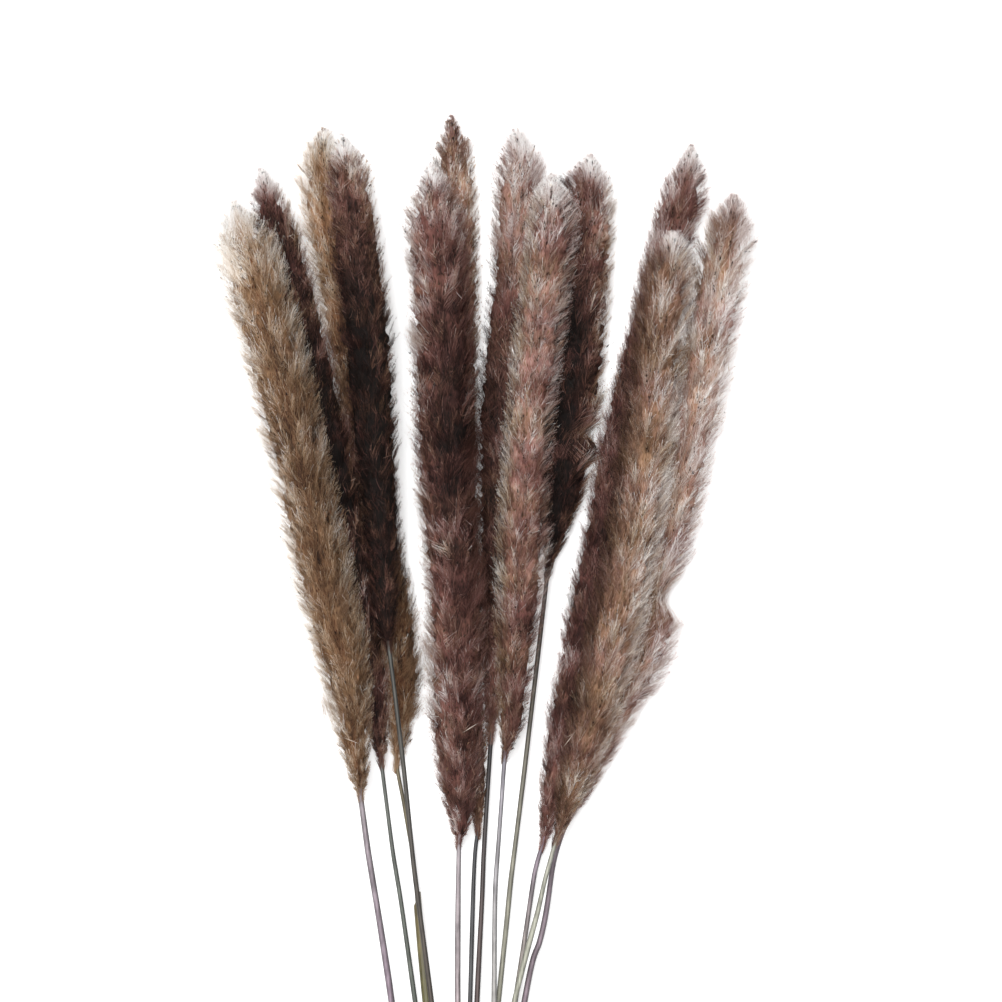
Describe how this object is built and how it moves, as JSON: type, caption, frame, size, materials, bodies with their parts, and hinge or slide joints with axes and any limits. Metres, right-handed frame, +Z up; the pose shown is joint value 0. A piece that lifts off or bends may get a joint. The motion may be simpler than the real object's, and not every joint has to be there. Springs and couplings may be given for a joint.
{
  "type": "bunch of dried reeds",
  "caption": "Loose bunch of dried, fluffy reed plumes on thin cut stems, fanned out and lying on a flat surface.",
  "frame": {"origin": "on the surface that the bunch lies on, under the middle of its box", "axes": "+Z up from the surface, +Y from the cut ends of the stems towards the tips of the plumes, +X to the right as seen from above"},
  "size_m": [0.2468, 0.5046, 0.0524],
  "materials": {
    "plume_golden": "soft, fluffy dried hair, golden tan",
    "plume_mauve": "soft, fluffy dried hair, mauve brown",
    "plume_dark": "soft, fluffy dried hair, very dark brown",
    "plume_pale": "soft, fluffy dried hair, pale pinkish grey",
    "stem": "dry, finely ribbed grass stem",
    "sheath": "dry olive leaf sheath, faintly ribbed"
  },
  "bodies": {
    "root": {"plume_01": "plume_golden", "stem_01": "stem", "plume_02": "plume_mauve", "stem_02": "stem", "plume_03": "plume_golden", "stem_03": "stem", "sheath_03": "sheath", "plume_04": "plume_dark", "stem_04": "stem", "plume_05": "plume_mauve", "stem_05": "stem", "plume_06": "plume_mauve", "stem_06": "stem", "plume_07": "plume_pale", "stem_07": "stem", "plume_08": "plume_pale", "stem_08": "stem", "plume_09": "plume_dark", "stem_09": "stem", "plume_10": "plume_mauve", "stem_10": "stem", "plume_11": "plume_golden", "stem_11": "stem", "plume_12": "plume_pale", "stem_12": "stem"}
  },
  "joints": []
}
